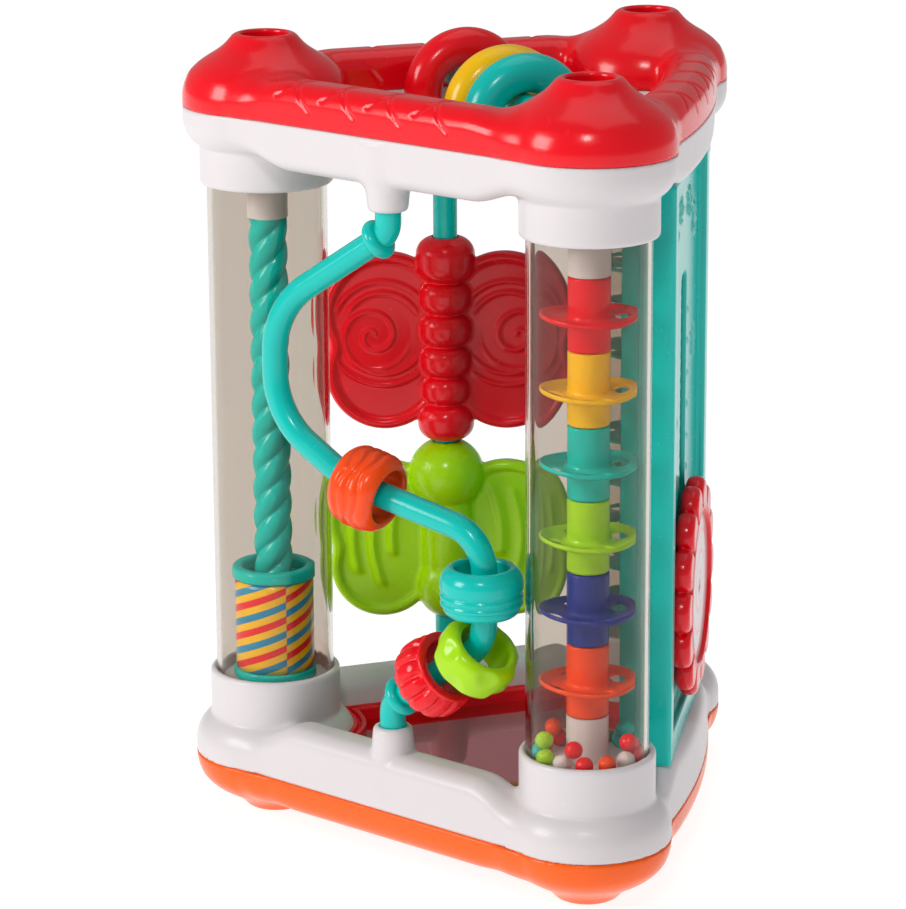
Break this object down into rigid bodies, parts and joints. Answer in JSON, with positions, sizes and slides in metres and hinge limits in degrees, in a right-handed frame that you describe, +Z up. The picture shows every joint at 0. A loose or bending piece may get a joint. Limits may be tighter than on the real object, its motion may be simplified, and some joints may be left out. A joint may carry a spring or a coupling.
{
  "type": "baby activity tower",
  "caption": "Three-sided baby activity tower: clear tubes with spinners, balls and a screw drum, a bent bead wire, turning butterflies, rings on a rod and a climbing flower wheel.",
  "frame": {"origin": "centre of the whole tower in plan, at the plane the three feet stand on", "axes": "+Z up along the tubes; +X from the left tube to the front tube; +Y towards the back tube"},
  "size_m": [0.2384, 0.2276, 0.335],
  "materials": {
    "red_plastic": "glossy moulded",
    "white_plastic": "satin moulded",
    "orange_plastic": "glossy moulded",
    "teal_plastic": "glossy moulded",
    "lime_plastic": "glossy moulded",
    "yellow_plastic": "glossy moulded",
    "blue_plastic": "glossy moulded",
    "clear_plastic": "clear, slightly smoky",
    "printed_label": "printed diagonal stripes",
    "printed_sticker": "printed spiral",
    "mirror": "red-tinted safety mirror",
    "steel": "zinc plated"
  },
  "bodies": {
    "tower": {"auger": "teal_plastic", "auger_post": "white_plastic", "back_tube": "clear_plastic", "balls_lime": "lime_plastic", "balls_orange": "orange_plastic", "balls_red": "red_plastic", "balls_teal": "teal_plastic", "balls_white": "white_plastic", "base_cover": "orange_plastic", "base_frame": "white_plastic", "base_screws": "steel", "bead_wire": "teal_plastic", "butterfly_rod": "teal_plastic", "front_tube": "clear_plastic", "left_tube": "clear_plastic", "mirror": "mirror", "panel_back": "teal_plastic", "panel_front": "teal_plastic", "rain_shelves": "teal_plastic", "ring_rod": "teal_plastic", "spinner_axle": "steel", "spinner_posts": "white_plastic", "top_cover": "red_plastic", "top_frame": "white_plastic", "top_screws": "steel", "tray": "red_plastic"},
    "drum_slide": {"drum_ring": "teal_plastic"},
    "drum_spin": {"drum_spool": "teal_plastic", "drum_label": "printed_label"},
    "bead_orange": {"bead_orange": "orange_plastic"},
    "bead_teal": {"bead_teal": "teal_plastic"},
    "bead_lime": {"bead_lime": "lime_plastic"},
    "bead_red": {"bead_red": "red_plastic"},
    "red_butterfly": {"red_butterfly": "red_plastic"},
    "green_butterfly": {"green_butterfly": "lime_plastic"},
    "ring_red": {"ring_red": "red_plastic"},
    "ring_yellow": {"ring_yellow": "yellow_plastic"},
    "ring_teal": {"ring_teal": "teal_plastic"},
    "wheel_slide": {"wheel_carriage": "white_plastic"},
    "wheel_spin": {"flower_wheel": "red_plastic", "wheel_pinion": "white_plastic", "wheel_sticker": "printed_sticker"},
    "spinner_red": {"spinner_red": "red_plastic"},
    "spinner_yellow": {"spinner_yellow": "yellow_plastic"},
    "spinner_teal": {"spinner_teal": "teal_plastic"},
    "spinner_lime": {"spinner_lime": "lime_plastic"},
    "spinner_blue": {"spinner_blue": "blue_plastic"},
    "spinner_orange": {"spinner_orange": "orange_plastic"}
  },
  "joints": [
    {"name": "drum_climb", "type": "slide", "parent": "tower", "child": "drum_slide", "axis": [0, 0, 1], "range_m": [0, 0.168]},
    {"name": "drum_turn", "type": "hinge", "parent": "drum_slide", "child": "drum_spin", "pos_m": [-0.085, -0.06767, 0.08], "axis": [0, 0, 1], "range_deg": [0, 1681]},
    {"name": "orange_bead_slide", "type": "slide", "parent": "tower", "child": "bead_orange", "axis": [0.9697, 0.1285, -0.2078], "range_m": [0, 0.024]},
    {"name": "teal_bead_turn", "type": "hinge", "parent": "tower", "child": "bead_teal", "pos_m": [0.0477, -0.08882, 0.12675], "axis": [0, 0, -1], "continuous": true},
    {"name": "lime_bead_turn", "type": "hinge", "parent": "tower", "child": "bead_lime", "pos_m": [0.0449, -0.08882, 0.0981], "axis": [-0.6419, 0, -0.7668], "continuous": true},
    {"name": "red_bead_turn", "type": "hinge", "parent": "tower", "child": "bead_red", "pos_m": [0.02236, -0.08882, 0.08541], "axis": [-0.8129, 0, -0.5823], "continuous": true},
    {"name": "red_butterfly_turn", "type": "hinge", "parent": "tower", "child": "red_butterfly", "pos_m": [-0.05852, 0.01519, 0.195], "axis": [0, 0, 1], "continuous": true},
    {"name": "green_butterfly_turn", "type": "hinge", "parent": "tower", "child": "green_butterfly", "pos_m": [-0.05852, 0.01519, 0.11], "axis": [0, 0, 1], "continuous": true},
    {"name": "red_ring_turn", "type": "hinge", "parent": "tower", "child": "ring_red", "pos_m": [-0.03601, 0.00219, 0.312], "axis": [0.866, -0.5, 0], "continuous": true},
    {"name": "yellow_ring_turn", "type": "hinge", "parent": "tower", "child": "ring_yellow", "pos_m": [0.00565, -0.02186, 0.312], "axis": [0.866, -0.5, 0], "continuous": true},
    {"name": "teal_ring_turn", "type": "hinge", "parent": "tower", "child": "ring_teal", "pos_m": [0.0247, -0.03286, 0.312], "axis": [0.866, -0.5, 0], "continuous": true},
    {"name": "red_spinner_turn", "type": "hinge", "parent": "tower", "child": "spinner_red", "pos_m": [0.085, -0.06767, 0.24233], "axis": [0, 0, 1], "continuous": true},
    {"name": "yellow_spinner_turn", "type": "hinge", "parent": "tower", "child": "spinner_yellow", "pos_m": [0.085, -0.06767, 0.21238], "axis": [0, 0, 1], "continuous": true},
    {"name": "teal_spinner_turn", "type": "hinge", "parent": "tower", "child": "spinner_teal", "pos_m": [0.085, -0.06767, 0.18243], "axis": [0, 0, 1], "continuous": true},
    {"name": "lime_spinner_turn", "type": "hinge", "parent": "tower", "child": "spinner_lime", "pos_m": [0.085, -0.06767, 0.15247], "axis": [0, 0, 1], "continuous": true},
    {"name": "blue_spinner_turn", "type": "hinge", "parent": "tower", "child": "spinner_blue", "pos_m": [0.085, -0.06767, 0.12252], "axis": [0, 0, 1], "continuous": true},
    {"name": "orange_spinner_turn", "type": "hinge", "parent": "tower", "child": "spinner_orange", "pos_m": [0.085, -0.06767, 0.09258], "axis": [0, 0, 1], "continuous": true},
    {"name": "wheel_climb", "type": "slide", "parent": "tower", "child": "wheel_slide", "axis": [0, 0, 1], "range_m": [0, 0.124]},
    {"name": "wheel_turn", "type": "hinge", "parent": "wheel_slide", "child": "wheel_spin", "pos_m": [0.06848, 0.02094, 0.1065], "axis": [0.866, 0.5, 0], "range_deg": [0, 1053.83]}
  ],
  "couplings": [
    {"joint": "drum_turn", "follows": "drum_climb", "rad_per_m": 174.53},
    {"joint": "wheel_turn", "follows": "wheel_climb", "rad_per_m": 148.19}
  ]
}
